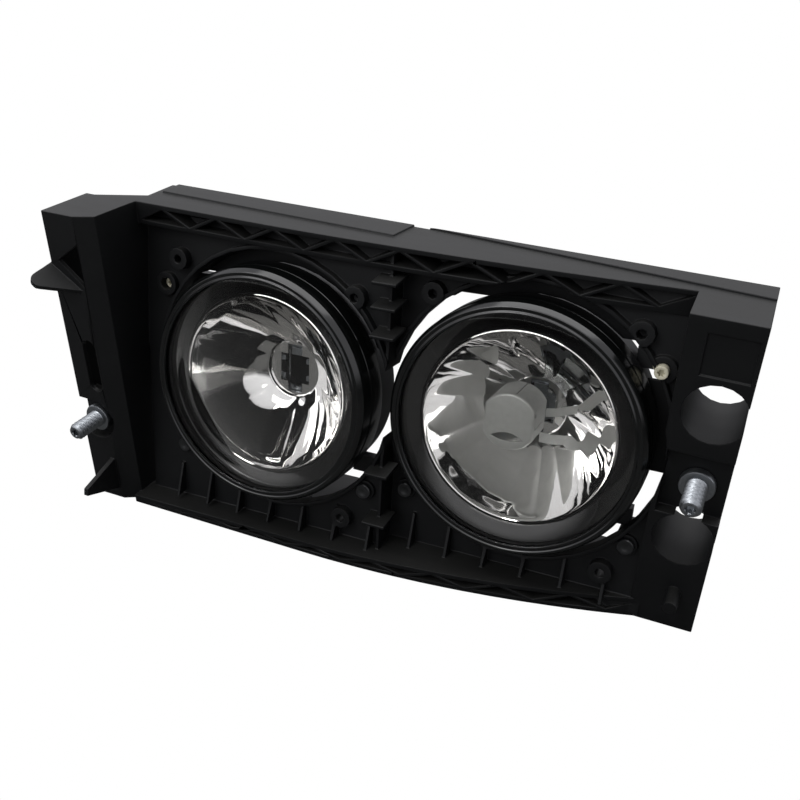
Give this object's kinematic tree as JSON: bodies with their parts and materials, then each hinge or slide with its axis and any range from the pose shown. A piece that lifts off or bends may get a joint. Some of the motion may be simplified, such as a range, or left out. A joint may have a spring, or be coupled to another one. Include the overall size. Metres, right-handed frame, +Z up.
{
  "type": "fog light",
  "caption": "Bumper lamp unit: round fog and driving lamps that tilt for aim, in a ribbed black moulded carrier with an end post, an end flange and threaded studs.",
  "frame": {"origin": "on the resting face under the carrier, midway between the two lamps", "axes": "+X along the bumper to the right as seen from the front, +Y into the unit away from the light, +Z up"},
  "size_m": [0.3543, 0.1292, 0.1763],
  "materials": {
    "carrier_plastic": "moulded black glass-filled nylon, fine satin grain",
    "lamp_plastic": "moulded black, satin",
    "ring_plastic": "semi-gloss black",
    "mask_plastic": "polished black",
    "cap_plastic": "moulded black, satin",
    "lens_glass": "clear pressed glass",
    "bulb_quartz": "clear quartz",
    "reflector_coating": "vacuum-coated aluminium",
    "seal_rubber": "matt black",
    "zinc_steel": "bright zinc plate",
    "spring_steel": "drawn bright wire",
    "shield_steel": "satin sheet steel",
    "aim_nylon": "natural nylon",
    "pivot_acetal": "moulded black acetal, satin",
    "pin_brass": "tinned brass"
  },
  "bodies": {
    "carrier": {"carrier": "carrier_plastic", "left_stud": "zinc_steel", "left_stud_sleeve": "zinc_steel", "left_pivot_stud_a": "pivot_acetal", "left_pivot_stud_b": "pivot_acetal", "right_stud": "zinc_steel", "right_stud_sleeve": "zinc_steel", "right_pivot_stud_a": "pivot_acetal", "right_pivot_stud_b": "pivot_acetal"},
    "left_lamp": {"left_lamp_body": "lamp_plastic", "left_lamp_ring": "ring_plastic", "left_lens": "lens_glass", "left_lens_seal": "seal_rubber", "left_mask_ring": "mask_plastic", "left_reflector": "reflector_coating", "left_bulb_holder": "zinc_steel", "left_cap_seal": "seal_rubber", "left_aim_nut": "aim_nylon", "left_connector_pin_a": "pin_brass", "left_connector_pin_b": "pin_brass"},
    "left_clip": {"left_bulb_clip": "spring_steel"},
    "left_cap": {"left_rear_cap": "cap_plastic"},
    "left_aim": {"left_aim_screw": "aim_nylon"},
    "right_lamp": {"right_lamp_body": "lamp_plastic", "right_lamp_ring": "ring_plastic", "right_lens": "lens_glass", "right_lens_seal": "seal_rubber", "right_mask_ring": "mask_plastic", "right_reflector": "reflector_coating", "right_bulb_holder": "zinc_steel", "right_cap_seal": "seal_rubber", "right_aim_nut": "aim_nylon", "right_connector_pin_a": "pin_brass", "right_connector_pin_b": "pin_brass", "right_bulb_glass": "bulb_quartz", "right_bulb_base": "zinc_steel", "right_bulb_shield": "shield_steel"},
    "right_clip": {"right_bulb_clip": "spring_steel"},
    "right_cap": {"right_rear_cap": "cap_plastic"},
    "right_aim": {"right_aim_screw": "aim_nylon"}
  },
  "joints": [
    {"name": "left_lamp_tilt", "type": "hinge", "parent": "carrier", "child": "left_lamp", "pos_m": [-0.0675, 0.01298, 0.03694], "axis": [1, 0, 0], "range_deg": [-2, 2]},
    {"name": "left_aim_turn", "type": "hinge", "parent": "carrier", "child": "left_aim", "pos_m": [-0.1345, 0.02913, 0.12853], "axis": [0, 0.9848, -0.1736], "range_deg": [-400, 400]},
    {"name": "left_cap_twist", "type": "hinge", "parent": "left_lamp", "child": "left_cap", "pos_m": [-0.0675, 0.065, 0.07854], "axis": [0, 0.9848, -0.1736], "range_deg": [0, 35]},
    {"name": "left_clip_swing", "type": "hinge", "parent": "left_lamp", "child": "left_clip", "pos_m": [-0.0675, 0.03883, 0.0931], "axis": [1, 0, 0], "range_deg": [0, 60]},
    {"name": "right_lamp_tilt", "type": "hinge", "parent": "carrier", "child": "right_lamp", "pos_m": [0.0675, 0.02298, 0.03694], "axis": [1, 0, 0], "range_deg": [-2, 2]},
    {"name": "right_aim_turn", "type": "hinge", "parent": "carrier", "child": "right_aim", "pos_m": [0.1285, 0.03844, 0.12459], "axis": [0, 0.9848, -0.1736], "range_deg": [-400, 400]},
    {"name": "right_cap_twist", "type": "hinge", "parent": "right_lamp", "child": "right_cap", "pos_m": [0.0675, 0.075, 0.07854], "axis": [0, 0.9848, -0.1736], "range_deg": [0, 35]},
    {"name": "right_clip_swing", "type": "hinge", "parent": "right_lamp", "child": "right_clip", "pos_m": [0.0675, 0.05375, 0.09224], "axis": [1, 0, 0], "range_deg": [0, 60]}
  ],
  "couplings": [
    {"joint": "left_aim_turn", "follows": "left_lamp_tilt", "ratio": 194.78},
    {"joint": "right_aim_turn", "follows": "right_lamp_tilt", "ratio": 186.4}
  ]
}
